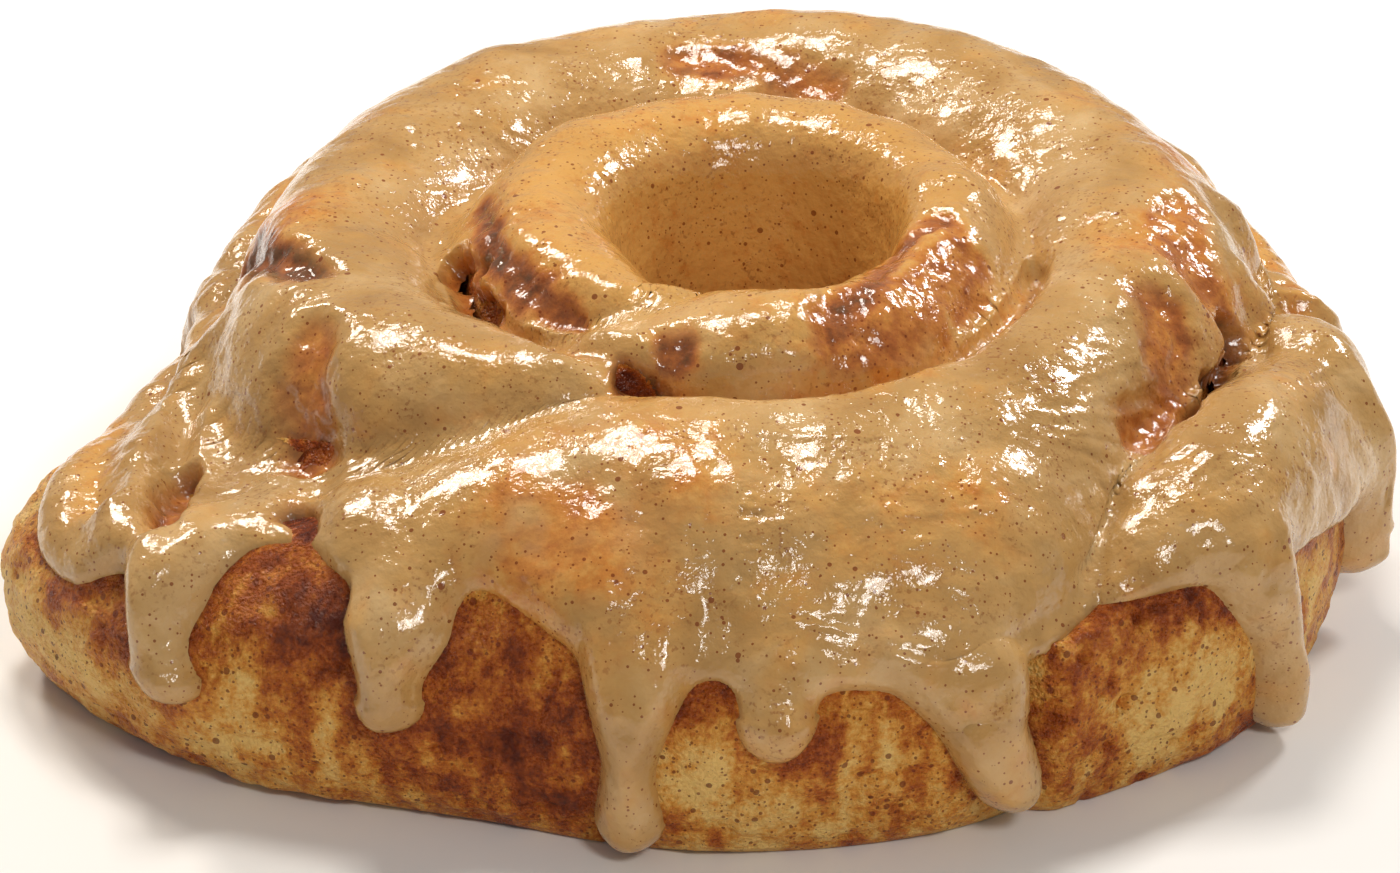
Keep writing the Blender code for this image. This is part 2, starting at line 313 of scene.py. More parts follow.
def strip_grid(s, inner_points, crown_points, side_points):
    """Points of the strip, a row for each angle: up the inner side, over the crown and
    down the outer side. The tail's last degrees shrink to a rounded end."""
    w = wrap(np.minimum(s, STRIP_END), SLOT)
    close = np.clip((s - (TAIL_END - TAIL_ROUND)) / TAIL_ROUND, 0, 1)
    rounded = np.sqrt(1 - ((1 - TAIL_LEAST) * close) ** 2)
    t = np.sin(np.linspace(np.pi / 2, 0, inner_points))[None, :-1]
    inner_r = w["ridge"] + (w["inner"] - w["ridge"]) * t
    inner_z = crown(t, w["top"], w["inner_height"], w["inner_power"], w["inner_root"])
    outer_r, outer_z = outer_side(w, crown_points, side_points)
    radii = np.concatenate([w["inner"], inner_r, outer_r], axis=1)
    heights = np.concatenate([np.zeros_like(s), inner_z, outer_z], axis=1)
    radii = w["inner"] + (radii - w["inner"]) * rounded
    radii = radii - (SLOT / 2 + TAIL_TUCK) * step(close, 0, 0.8)
    heights = np.where(s < ROUNDED_UNTIL, rounded_front(radii, heights, s % 360), heights)
    return radii, heights


last_start = wrap(np.array([[720.0]]))
print("the last wrap's section at its start:", {k: float(v[0, 0]) for k, v in last_start.items()})

# %% [markdown]
# A grid of points becomes a mesh with four-sided faces. Each point can carry values of
# its own, such as how browned it is, and the materials read them. Where one surface is
# cut into pieces, every piece keeps the whole surface's normals, so no seam shows.

# %% Grids and meshes


def grid_normals(points, closed):
    """Unit normals of a grid: the cross product of its two directions. A closed grid's
    last row meets its first."""
    if closed:
        ahead = np.roll(points, -1, axis=0) - np.roll(points, 1, axis=0)
    else:
        ahead = np.gradient(points, axis=0)
    normals = np.cross(ahead, np.gradient(points, axis=1))
    return normals / np.maximum(np.linalg.norm(normals, axis=-1, keepdims=True), 1e-9)


def grid_faces(rows, columns, closed_rows=False, closed_columns=False):
    """Four-sided faces between neighbouring points of a grid, as an array."""
    i = np.arange(rows if closed_rows else rows - 1)[:, None]
    j = np.arange(columns if closed_columns else columns - 1)[None, :]
    ahead, beside = (i + 1) % rows, (j + 1) % columns
    row, next_row = i * columns, ahead * columns
    corners = (row + j, next_row + j, next_row + beside, row + beside)
    return np.stack(np.broadcast_arrays(*corners), axis=-1)


def end_caps(rows, columns):
    """The faces that close a grid at its first row and its last."""
    first = np.arange(columns)
    return [first, first[::-1] + (rows - 1) * columns]


def make_piece(name, points, faces, values=None, normals=None, caps=()):
    """A smooth object of these points in millimetres and of the faces that use them."""
    points = points.reshape(-1, 3)
    used, quads = np.unique(np.concatenate([faces.ravel(), *caps]), return_inverse=True)
    quads = quads.ravel()
    sides = quads[: faces.size].reshape(-1, 4).tolist()
    ends = []
    if caps:
        ends = np.split(quads[faces.size :], np.cumsum([len(cap) for cap in caps])[:-1])
    mesh = bpy.data.meshes.new(name)
    mesh.from_pydata((points[used] * MM).tolist(), [], sides + [end.tolist() for end in ends])
    for label, numbers in (values or {}).items():
        stored = mesh.attributes.new(label, "FLOAT", "POINT")
        stored.data.foreach_set("value", numbers.ravel()[used].astype(np.float32))
    mesh.shade_smooth()
    if normals is not None:
        mesh.normals_split_custom_set_from_vertices(normals.reshape(-1, 3)[used].tolist())
    made = bpy.data.objects.new(name, mesh)
    bpy.context.scene.collection.objects.link(made)
    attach(made, "root")
    print(f"{name}: {len(mesh.vertices)} points, {2 * len(sides)} triangles")
    return made


print("faces of a grid of 3 by 4 points:", grid_faces(3, 4).shape[:2])

# %% [markdown]
# Some places on top of the roll aren't covered by icing, or only by a clear glaze, so
# that browned sugar shows. Each is a short line of places, turn angle and radius, with
# a half width. The dough takes its browning from these lines and the icing its holes.

# %% Bare and browned places
UNEVEN_RIM = 0.7  # how far the rims of these places wander, in millimetres

# name: (turn, radius) along a line, half width, icing left in millimetres, which is
# negative where the filling or bare crust shows, and how browned
PLACES = {
    "dent": (((62, 40.4), (57, 42.0), (54, 43.6)), 2.1, 0.4, 0.7),
    "left_sugar": (((75, 37.7), (83, 40.0), (95, 43.0)), 1.5, 0.4, 1.0),
    "ring_gold": (((341, 25.0), (326, 24.4), (312, 22.4), (298, 21.4)), 2.0, 0.6, 0.48),
    "ring_rim": (
        ((341, 24.6), (330, 21.8), (317, 18.9), (305, 17.6), (295, 18.0), (288, 19.4)), 0.8, 0.4, 0.8
    ),
    "ring_clump": (((342, 25.4), (337, 23.6)), 0.5, 0.4, 0.75),
    "ring_line": (((95, 21.6), (69, 21.6), (50, 21.8), (36, 22.4)), 0.8, 0.5, 0.85),
    "ring_slot": (((84, 24.2), (70, 24.4), (58, 24.8)), 1.0, -1.0, 0.6),
    "front_slot": (((19, 28.3), (13, 28.7)), 0.9, -1.2, 1.0),
    "ring_spot": (((13, 26.0), (9.5, 25.6)), 1.0, 0.3, 0.9),
    "right_sugar": (((290, 38.5), (297, 41.0), (306, 41.4)), 2.2, 0.5, 0.62),
    "right_gold": (((268, 38.5), (279, 40.0)), 2.0, 0.6, 0.35),
    "right_slot": (((281, 43.8), (292, 43.6), (301, 44.8)), 1.0, -1.0, 0.9),
    "right_dough": (((246, 48.5), (256, 48.0)), 2.2, -0.4, 0.1),
    "right_dough_low": (((268, 50.0), (272, 51.5)), 1.6, -0.4, 0.2),
    "back_sugar": (((172, 34.5), (184, 33.0), (197, 31.0)), 1.8, 0.8, 0.75),
    "back_groove": (((196, 27.5), (207, 28.0)), 1.3, 0.4, 0.9),
    "right_far": (((240, 50), (252, 51), (262, 53)), 2.6, 0.8, 0.1),
    "right_back": (((226, 52), (214, 52)), 2.2, 0.8, 0.2),
    "left_gold": (((79, 55.5), (71, 58.0), (64, 60.0)), 1.8, 0.7, 0.1),
    "lobe_strip": (((63, 52.0), (58, 56.0), (54.5, 57.6)), 1.3, 0.1, 0.8),
    "lobe_hole": (((46.5, 50.2), (44, 50.8)), 1.0, -0.8, 1.0),
}

# places where the icing lets more of the crust's gold through: turn, radius, how wide in
# millimetres, how much
GLOWS = (
    (21, 44.5, 8, 0.85), (12, 41, 8, 0.75), (342, 46, 6, 0.4), (332, 42.5, 5, 0.3),
    (251, 42, 5, 1.1), (265, 42, 4, 0.8), (278, 39.5, 6, 0.9), (187, 44, 6, 1.0),
    (159, 46, 6, 0.9), (94.5, 40.5, 6, 1.0), (125, 49, 7, 0.8), (66, 19, 6, 0.5),
)


def near_line(points, line, half_width, soft, ragged=0.0):
    """1 within the half width of a line of (turn, radius) places, seen from above, and
    0 beyond: the distance to the nearest stretch of the line, made ragged, through a
    step."""
    turns, radii = np.array(line, float).T
    stops = place(radii, 0, turns)[:, :2]
    nearest = np.full(points.shape[:-1], np.inf)
    for here, ahead in zip(stops[:-1], stops[1:]):
        leg = ahead - here
        offset = points[..., :2] - here
        share = np.clip(offset @ leg / (leg @ leg), 0, 1)
        nearest = np.minimum(nearest, np.linalg.norm(offset - share[..., None] * leg, axis=-1))
    return 1 - step(nearest + ragged, half_width - soft, half_width + soft)


def sugared(points):
    """How browned the top is at these points, from the places above. The rim of each is
    browner than its middle."""
    browned = np.zeros(points.shape[:-1])
    ragged = UNEVEN_RIM * clouds(points, 3.2, 91, 3)
    mild = 0.3 * step(cloud(points, 3.5, 93), -0.5, 0.3)
    for line, half_width, _, brown in PLACES.values():
        rim = near_line(points, line, half_width + 0.3, 0.8, ragged)
        middle = near_line(points, line, half_width - 1.0, 0.6, ragged)
        browned = np.maximum(browned, brown * (rim - mild * middle))
    return browned


def uncovered(points, thick):
    """The icing's thickness with the places left thin or bare, and a number that is 1
    on them: the thickness goes to what is left there over a soft rim."""
    bare = np.zeros(points.shape[:-1])
    ragged = UNEVEN_RIM * clouds(points, 3.2, 91, 3)
    for line, half_width, left, _ in PLACES.values():
        near = near_line(points, line, half_width, 0.8 + 2 * max(left, 0), ragged)
        thick = thick + (np.minimum(thick, left) - thick) * near
        bare = np.maximum(bare, near)
    return thick, bare


def glow(points):
    """How much more gold shows through at these points: a soft bell at each place."""
    total = np.zeros(points.shape[:-1])
    for turn, radius, wide, more in GLOWS:
        offset = points[..., :2] - place(radius, 0, turn)[:2]
        total = total + more * lump(np.linalg.norm(offset, axis=-1), 0, wide)
    return total


print("places where the dough shows through the icing:", len(PLACES), "and", len(GLOWS))

# %% [markdown]
# The icing's lower edge on the side is a shoreline. It is described as land and sea:
# a number for each point says how many millimetres it lies inside the icing, negative
# outside. The skirt and each drip have their own number, and the larger one counts,
# rounded where they meet, which gives the arches between the drips. The crust needs the
# shoreline too: it is darker just below the icing, as painted shade under the icing's
# edge, and its fine grain ends under it.

# %% The shoreline
SIDE_RADIUS = 56.0
PAST_TAIL = (STRIP_END + 4.5, STRIP_END + 13.0)  # the icing slopes down to the wrap inside
SHOULDER = 12.0  # below this height only the skirt and the drips make land
DRIP_START = 18.0  # height where the drips leave the skirt
SET_BACK = 0.4
WANDER = 0.25

# turn angle and height of the skirt's edge
SKIRT = (
    (0, 16.8), (8, 17.0), (16, 18.3), (24.5, 21.4), (33, 20.4), (42, 21.6), (50, 20.6),
    (55, 18.4), (59, 14.4), (64, 14.4), (69, 16.2), (76, 17.4), (90, 16.0), (110, 15.5),
    (130, 16.8), (150, 15.2), (175, 16.6), (205, 15.2), (225, 16.8), (250, 15.6),
    (270, 14.6), (290, 13.8), (297, 15.2), (306, 16.8), (315, 17.8), (324.5, 17.8),
    (333, 16.8), (340, 16.6), (347, 15.4), (351.5, 15.6), (356, 16.0),
)

# turn angle at the skirt, turn angle at the tip, height of the tip, half width at the
# skirt, at the neck and of the tip's drop, and how much thicker than the skirt
DRIPS = (
    (51.5, 47.8, 9.2, 3.6, 2.4, 2.8, 1.0),
    (31.0, 30.5, 9.6, 4.6, 2.7, 3.0, 0.9),
    (9.3, 9.8, 0.6, 5.4, 2.6, 3.4, 1.3),
    (356.4, 356.5, 10.2, 3.6, 3.2, 3.5, 0.8),
    (341.5, 335.0, 2.8, 7.2, 4.0, 3.4, 0.9),
    (309.5, 304.5, 0.5, 4.6, 2.7, 3.1, 1.7),
    (284.0, 282.5, 4.4, 4.4, 2.6, 2.6, 0.9),
    (107.0, 108.0, 9.0, 4.4, 2.6, 3.0, 0.7),
    (157.0, 158.0, 11.0, 5.2, 3.4, 3.6, 0.6),
    (197.0, 196.0, 6.0, 4.8, 2.5, 3.2, 0.8),
    (237.0, 238.0, 10.0, 5.2, 3.2, 3.6, 0.6),
)


def last_wrap(turns):
    """The outermost wrap's sizes at each turn angle, carried on past the tail's end."""
    tail = wrap(np.minimum(turns + 720, STRIP_END))
    inside = wrap(turns + 360)
    past = step(turns + 720, *PAST_TAIL)
    return {name: tail[name] * (1 - past) + inside[name] * past for name in tail}


def inside_skirt(turns, heights):
    """Height above the skirt's edge, which is smoothed over a few degrees."""
    stops, levels = np.array(SKIRT).T
    fine = np.arange(0, 360, 0.5)
    edge = np.interp(fine, stops, levels, period=360)
    bell = lump(np.arange(-8, 9) * 0.5, 0, 1.8)
    edge = np.convolve(np.pad(edge, 8, mode="wrap"), bell / bell.sum(), mode="valid")
    return heights - np.interp(turns, fine, edge, period=360)


def inside_drip(turns, heights, drip):
    """Half width of the drip at this height less the distance from its middle line,
    and a round drop at the tip."""
    turn, tip_turn, tip, top, neck, drop, _ = drip
    level = np.clip((heights - tip) / (DRIP_START - tip), 0, 1)
    middle = tip_turn + (turn - tip_turn) * level**1.2
    across = np.radians(around(turns, middle)) * SIDE_RADIUS
    half = neck + (top - neck) * step(level, 0.45, 1.1)
    half = half + (drop - neck) * (1 - step(level, 0.1, 0.5))
    below = np.minimum(heights - tip - drop, 0)
    return np.where(below < 0, drop - np.hypot(across, below), half - np.abs(across))


def larger(a, b, rounding):
    """The larger of two numbers, rounded where they are close."""
    return (a + b + np.sqrt((a - b) ** 2 + rounding**2)) / 2


def shore(points, turns, heights):
    """How many millimetres each point lies inside the icing, and how much thicker the
    drips make it there. The whole edge is set back a little, and it wanders."""
    radii = np.hypot(points[..., 0] - CENTRE[0], points[..., 1] - CENTRE[1])
    behind_ridge = np.where(heights > SHOULDER, last_wrap(turns)["ridge"] - radii, -9)
    inside = np.maximum(inside_skirt(turns, heights), behind_ridge)
    fuller = np.zeros_like(heights)
    for drip in DRIPS:
        here = inside_drip(turns, heights, drip)
        low = 1 - step(heights, DRIP_START - 1, DRIP_START + 6)
        fuller = np.maximum(fuller, drip[-1] * step(here, -0.8, 2.4) * low)
        inside = larger(inside, here, 1.8)
    return inside - SET_BACK + WANDER * cloud(points, 4, 61), fuller


print("drips:", len(DRIPS))

# %% [markdown]
# Crust on the open side of the roll: slow lumps where the dough bulged, wrinkles that
# run along the strip, grains of sugar, and pores where bubbles broke, darkened inside as
# painted shade. It is browned deeply at the front left, darker just under the icing's
# edge as painted shade, and paler and spongy at the front right. How browned it is,
# with this painted shade, goes to the material.

# %% Crust
FOOT_FADE = (0, 1.6)  # heights over which the relief fades in above the ground
TOP_FADE = (20, 25)  # heights over which the open side gives way to the rings

# turn, height, degrees wide, millimetres high, browner by
SPOTS = (
    (21, 11, 8, 12, 0.27),
    (14, 6, 7, 9, 0.18),
    (36, 17, 12, 4, 0.3),
    (44, 2, 22, 2.5, 0.22),
    (56, 13, 9, 3, 0.17),
    (78, 10, 13, 9, -0.22),
    (48, 9, 8, 5, -0.16),
    (72, 7, 10, 6, -0.2),
    # just under the icing's edge on the right: partly red crust, partly painted shade under the icing
    (319, 17, 13, 2.4, 0.18),
    (322, 9, 10, 7, -0.05),
    (309, 8, 9, 8, -0.12),
    (312, 1, 12, 2.2, 0.2),
    (325, 9, 3, 7, 0.2),
    (329, 4, 4, 5, 0.14),
    (300, 9, 8, 9, -0.2),
    (352, 8, 16, 9, -0.16),
    (2, 17, 5, 3, 0.25),
)
SPONGY_TURN = 319  # the middle of the paler, spongy stretch

# heights of the relief in millimetres
BULGE = 0.6
LUMP = 0.25
WRINKLE = 0.34
GRAIN = 0.08  # on pale crust
SUGAR_GRAIN = 0.16  # and this much more where it is browned
PORE_DEPTH = 0.8


def crust_tone(points, turns, heights):
    """How browned the side is: an even base, blobs of two sizes, streaks that run down
    the side, and the patches above."""
    down = np.stack([np.radians(turns) * SIDE_RADIUS / 1.6, heights / 8, heights / 30], axis=-1)
    tone = 0.33 + 0.14 * clouds(points, 9, 11) + 0.2 * clouds(points, 2.4, 17, 4)
    tone = tone + 0.16 * clouds(down, 1.0, 19)
    for turn, height, wide, high, more in SPOTS:
        near = np.exp(-((around(turns, turn) / wide) ** 2) - ((heights - height) / high) ** 2)
        tone = tone + more * near
    return tone


def crust_lumps(points, heights):
    """The slow part of the relief, in millimetres. It fades at the foot, on the rings
    and in the well, and the icing follows it too."""
    lumps = BULGE * clouds(points, 11, 21, 2) + LUMP * clouds(points, 4.2, 24, 2)
    in_well = 1 - step(np.hypot(points[..., 0] - CENTRE[0], points[..., 1] - CENTRE[1]), 14, 20)
    on_top = step(heights, *TOP_FADE)
    return lumps * step(heights, *FOOT_FADE) * (1 - 0.5 * on_top) * (1 - 0.6 * in_well)


def crust_grain(points, turns, heights, browned):
    """The fine part of the relief, in millimetres: wrinkles, grains and pores."""
    outwards = np.linalg.norm(points[..., :2], axis=-1)
    strip = np.stack([np.radians(turns) * 9.5, heights / 1.6, outwards / 4], axis=-1)
    wrinkles = WRINKLE * (0.35 - np.abs(clouds(strip, 1.0, 27, 3)))
    grains = (GRAIN + SUGAR_GRAIN * np.clip(browned, 0, 1)) * clouds(points, 1.2, 31, 2)
    spongy = lump(around(turns, SPONGY_TURN), 0, 13) + 0.35 * (cloud(points, 9, 35) > 0.1)
    pores = np.clip(spongy, 0, 1) * pits(points, 2.6, 1.0, 37)
    return (wrinkles + grains) * step(heights, *FOOT_FADE) - PORE_DEPTH * pores, pores


FINE_WRAP = 0.42  # degrees between two rows of the outer wrap's points
COARSE_WRAP = 0.6


def dough_piece(name, start, end, spacing, points_across):
    """One stretch of the strip with its crust, closed at both ends. The counts of points
    across are for the inner side, the crown and the outer side. The fine relief fades
    out under the icing, so that no grain pokes through it."""
    s = np.linspace(start, end, round((end - start) / spacing) + 1)[:, None]
    radii, heights = strip_grid(s, *points_across)
    points = place(radii, heights, s)
    turns = np.broadcast_to(s % 360, radii.shape)
    on_top = step(heights, *TOP_FADE)
    inside, _ = shore(points, turns, heights)
    sugar = sugared(points) * step(heights, 17, 20)
    browned = crust_tone(points, turns, heights) * (1 - 0.55 * on_top)
    # a band just below the icing's edge is made browner: painted shade under the icing's lip
    browned = browned + 0.18 * lump(np.minimum(inside, 0), 0, 1.8) * (1 - on_top)
    browned = np.maximum(browned, sugar)
    grain, pores = crust_grain(points, turns, heights, browned)
    showing = np.maximum(1 - step(inside, -1.6, 0.4), step(sugar, 0, 0.3))
    relief = crust_lumps(points, heights) + grain * showing
    points = points + grid_normals(points, False) * relief[..., None]
    points[..., 2] = np.maximum(points[..., 2], 0)
    faces = grid_faces(*radii.shape, closed_columns=True).reshape(-1, 4)
    # the pores are made darker inside: painted shade in the pits
    values = {"browned": browned + 0.35 * pores}
    piece = make_piece(name, points, faces, values, caps=end_caps(*radii.shape))
    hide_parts("dough_roll")
    return piece


inner_wraps = dough_piece("inner_wraps", 0, OPEN_SIDE + 1, COARSE_WRAP, (34, 30, 8))
outer_wrap = dough_piece("outer_wrap", OPEN_SIDE, TAIL_END, FINE_WRAP, (22, 30, 58))

# %% [markdown]
# The well's floor is a shallow dish of the same dough, sticky with sugar that ran down and painted dark
# as the shade at the bottom of the well.
# It is rings of points round the well's middle, the last one down inside the wall.

# %% The floor of the well
DISH_RIM = 1.06  # where the dish ends, as a share of the well's radius
DISH_LOW = -0.8  # its middle against the solid's floor
DISH_RISE = 2.2
DISH_WALL = 1.0  # how far its rim reaches into the well's wall
DISH_SKIRT = (10, 1)  # heights of the last two rings, inside the wall


def well_floor():
    """Rings from the middle out: the dish rises with the square of the share of the
    radius, and its rim goes down inside the wall."""
    turns = np.linspace(0, 360, 180, endpoint=False)[:, None]
    share = np.concatenate([np.linspace(0.02, DISH_RIM, 40), [DISH_RIM, DISH_RIM]])[None, :]
    heights = WELL_FLOOR + DISH_LOW + DISH_RISE * share**2 + np.zeros_like(turns)
    heights[:, -2:] = DISH_SKIRT
    points = place((well_edge(turns) + DISH_WALL) * share, heights, turns)
    points[..., 2] += 0.35 * clouds(points, 3, 41) * (share < DISH_RIM - 0.01)
    rows, columns = points.shape[:2]
    faces = grid_faces(rows, columns, closed_rows=True).reshape(-1, 4)
    caps = [np.arange(rows)[::-1] * columns, np.arange(rows) * columns + columns - 1]
    # dark brown all over: partly sugar that ran down, partly painted shade at the bottom of the well
    values = {"browned": np.full(points.shape[:2], 0.85) + 0.2 * cloud(points, 2, 43)}
    piece = make_piece("well_bottom", points, faces, values, caps=caps)
    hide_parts("dough_roll")
    return piece


well_bottom = well_floor()

# %% [markdown]
# The filling is butter, sugar and cinnamon that melted between the wraps. It shows only
# in the grooves that the icing left open, as a dark glossy line with an uneven top.

# %% The filling
FILLING = 1.2
FILLING_SUNK = 1.6  # how far its top lies under the crease
FILLING_FOOT = 0.5

# the section, as shares of half the thickness and millimetres above the top's level
FILLING_ACROSS = np.array([[-1, -1, -0.9, -0.4, 0.3, 0.9, 1, 1]])
FILLING_UP = np.array([[0, -0.5, 0.1, 0.6, 0.6, 0.1, -0.5, 0]])


def filling_piece():
    """The layer in the slot: straight sides and a top that wanders up and down."""
    s = np.linspace(0, OPEN_SIDE, 1400)[:, None]
    radii = outer_edge(s) + FILLING / 2 * FILLING_ACROSS
    heights = crease_height(s) - FILLING_SUNK + FILLING_UP
    heights[:, [0, -1]] = FILLING_FOOT
    points = place(radii, heights, s)
    uneven = 0.5 * clouds(points, 3, 51)
    points[:, 1:-1, 2] += uneven[:, 1:-1]
    faces = grid_faces(*radii.shape, closed_columns=True).reshape(-1, 4)
    caps = end_caps(*radii.shape)
    piece = make_piece("cinnamon_layer", points, faces, caps=caps)
    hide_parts("cinnamon_filling")
    return piece


cinnamon_layer = filling_piece()

# %% [markdown]
# The icing was poured warm. It is thin on the ridges, pools in the grooves, bridges the
# gap at the front and runs over the edge in drips. A fluid simulation would give no say
# in where the drips go. Instead a ball is rolled across the dough: its underside is
# where a thick liquid would lie. A larger ball makes the bridges, and a small one keeps
# the fold round the ring. Then the icing's thickness is added along the normal.

# %% Where the icing lies
RADIAL = 0.25  # millimetres between two radii of the height table
TABLE_RADIUS = 75
BALL = 3.0
BRIDGE_BALL = 7.0
CREASE_BALL = 0.75
ICING_COLUMNS = 1080
ICING_ROWS = 264
TOP_POINTS = 420  # from the middle to the last wrap's ridge, before they are spaced evenly
CROWN_POINTS = 160  # from that ridge to the side
SIDE_POINTS = 120
OVER_EDGE = (100, 158)  # points of the crown where the ball gives way to the wall
EASED_TURN = 338  # where the last wrap's ridge moves outwards fast, so rows are evened out
EASED_ROWS = 12  # how many rows to either side count


def dough_top(turns):
    """Heights of the dough, a row for each turn angle and a column for each radius."""
    radii = np.arange(0, TABLE_RADIUS, RADIAL)[None, :]
    turns = turns[:, None]
    heights = np.where(radii < well_edge(turns), WELL_FLOOR, 0.0)
    for s in (turns, turns + 360, turns + 720):
        w = wrap(np.minimum(s, STRIP_END))
        if s is turns:
            w["inner"], w["inner_height"] = well_edge(s), WELL_FLOOR
            w["ridge"] = w["inner"] + (w["outer"] - w["inner"]) * ridge_place(s)
        t_in = np.clip((w["ridge"] - radii) / (w["ridge"] - w["inner"]), 0, 1)
        t_out = np.clip((radii - w["ridge"]) / (w["outer"] - w["ridge"]), 0, 1)
        rise = crown(t_in, w["top"], w["inner_height"], w["inner_power"], w["inner_root"])
        fall = crown(t_out, w["top"], w["outer_height"], w["outer_power"], w["outer_root"])
        here = (radii >= w["inner"]) & (radii <= w["outer"])
        here = here * (1 - step(s, *PAST_TAIL))
        heights = heights + (np.where(radii < w["ridge"], rise, fall) - heights) * here
    return rounded_front(radii, heights, turns % 360)


def rolled(heights, radius):
    """Heights that a ball of this radius touches from above: the heights widened by
    the ball, then narrowed by it again."""
    reach = int(radius / RADIAL)
    count = heights.shape[1]
    offsets = range(2 * reach + 1)
    cap = [np.sqrt(radius**2 - ((k - reach) * RADIAL) ** 2) for k in offsets]
    wide = np.pad(heights, ((0, 0), (reach, reach)), mode="edge")
    over = np.max([wide[:, k : k + count] + cap[k] for k in offsets], axis=0)
    wide = np.pad(over, ((0, 0), (reach, reach)), mode="edge")
    return np.min([wide[:, k : k + count] - cap[k] for k in offsets], axis=0)


def liquid_heights(turns):
    """Heights where a thick liquid rests on the dough, a row for each turn angle and a
    column for each radius: the three balls' heights, each with its own places."""
    next_turn = step(turns, 335, 360)[:, None]
    dough = dough_top(turns) * (1 - next_turn) + dough_top(turns - 360) * next_turn
    outwards = np.arange(dough.shape[1])[None, :] * RADIAL

    # from the front round to the left, outside the ring
    bridge = np.maximum(1 - step(turns, 90, 130), step(turns, 350, 359))[:, None]
    bridge = bridge * step(outwards, 29, 34)

    # at the front of the ring, where the strip starts
    start = np.maximum(1 - step(turns, 22, 42), step(turns, 320, 340))[:, None]
    start = start * step(outwards, 12, 15) * (1 - step(outwards, 22, 25))
    bridge = np.maximum(bridge, start)
    crease = lump(around(turns, 350), 0, 30)[:, None] * lump(outwards, 27.5, 3.5)
    heights = rolled(dough, BALL) * (1 - bridge) + rolled(dough, BRIDGE_BALL) * bridge
    return heights * (1 - crease) + rolled(dough, CREASE_BALL) * crease


def even_steps(radii, heights, turns):
    """The same rows with even steps along each, from a little inside the well's edge:
    places are looked up by the length run so far."""
    hops = np.hypot(np.diff(radii, axis=1), np.diff(heights, axis=1))
    run = np.concatenate([np.zeros((len(turns), 1)), np.cumsum(hops, axis=1)], axis=1)
    even_r, even_z = np.empty((2, len(turns), ICING_ROWS))
    top = slice(TOP_POINTS - 1)
    for i, turn in enumerate(turns):
        first = np.interp(well_edge(turn) - 1.0, radii[i, top], run[i, top])
        stops = np.linspace(first, run[i, -1], ICING_ROWS)
        even_r[i] = np.interp(stops, run[i], radii[i])
        even_z[i] = np.interp(stops, run[i], heights[i])
    return even_r, even_z


def icing_bed(turns):
    """The surface that the icing lies on, from low in the well to the foot of the side:
    radii and heights, a row for each turn angle. The liquid's heights count on top and
    the wall's own below its edge."""
    liquid = liquid_heights(turns)
    w = last_wrap(turns[:, None])
    side_r, side_z = outer_side(w, CROWN_POINTS, SIDE_POINTS)
    top_r = w["ridge"] * np.linspace(0, 1, TOP_POINTS)[None, :-1]
    radii = np.concatenate([top_r, side_r], axis=1)
    low = np.floor(radii / RADIAL).astype(int)
    part = radii / RADIAL - low
    rows = np.arange(len(turns))[:, None]
    heights = liquid[rows, low] * (1 - part) + liquid[rows, low + 1] * part
    on_side = slice(TOP_POINTS - 1, None)
    wall_share = step(np.arange(side_r.shape[1]), *OVER_EDGE)
    heights[:, on_side] += (side_z - heights[:, on_side]) * wall_share
    even_r, even_z = even_steps(radii, heights, turns)
    bell = lump(np.arange(-EASED_ROWS, EASED_ROWS + 1), 0, EASED_ROWS / 2)
    near = lump(around(turns, EASED_TURN), 0, 7)[:, None]
    for even in (even_r, even_z):
        beside = [weight * np.roll(even, k - EASED_ROWS, axis=0) for k, weight in enumerate(bell)]
        level = sum(beside) / bell.sum()
        even += (level - even) * near * step(even_r, 34, 40)
    return even_r, even_z


icing_turns = np.linspace(0, 360, ICING_COLUMNS, endpoint=False)
bed_radii, bed_heights = icing_bed(icing_turns)
print("icing bed:", bed_radii.shape, "top", bed_heights.max().round(1), "mm")

# %% [markdown]
# Thickness comes next. From the shoreline it rises steeply and levels off, as a thick
# liquid held by its own skin does. Drips are thicker than the skirt. Then come the slow
# swells of a cooled icing, folds in its skin where it stretched, and small bubbles.

# %% The icing's thickness
THICK = 1.6
EDGE = 2.9  # millimetres over which the edge rounds off, as a quarter of an ellipse
STEEP = 2.8  # how fast the sheet dives into the crust outside the shoreline
FOLD_DEPTH = 1.5
LOWEST = 0.3  # the longest drips end this far above the ground

# heights in millimetres
SWELL = 0.35
RIPPLE = 0.13
SKIN_FOLD = 0.16
BUBBLE = 0.22
GLAZE_GRAIN = 0.16

# extra icing: (turn, radius) along a line, half width, height
RIVULETS = (
    (((82, 46.0), (75, 51.5), (66, 56.5), (58, 59.5), (51, 60.5)), 2.0, 1.7),
    (((258, 45.5), (262, 49.5), (264, 53)), 2.2, 1.4),
    (((272, 46.0), (277, 50.5), (281, 55.0)), 2.4, 1.5),
    (((70, 47), (62, 51.5), (54, 55.5), (48.5, 58.5), (46, 60)), 1.4, 1.0),
    (((47, 40.5), (43, 45), (37, 50), (33, 54)), 2.6, 0.7),
    (((330, 43), (322, 48), (318, 51)), 3.0, 0.6),
)

# turn and radius along the fold round the front of the ring, where the icing is thinnest
CREASE = (
    (280, 27.0), (290, 27.3), (300, 27.6), (310, 27.8), (320, 28.0), (330, 28.1),
    (340, 28.2), (350, 28.2), (359.9, 28.2), (370, 28.3), (380, 28.0), (390, 27.4),
    (400, 26.4), (410, 25.4), (422, 24.6),
)


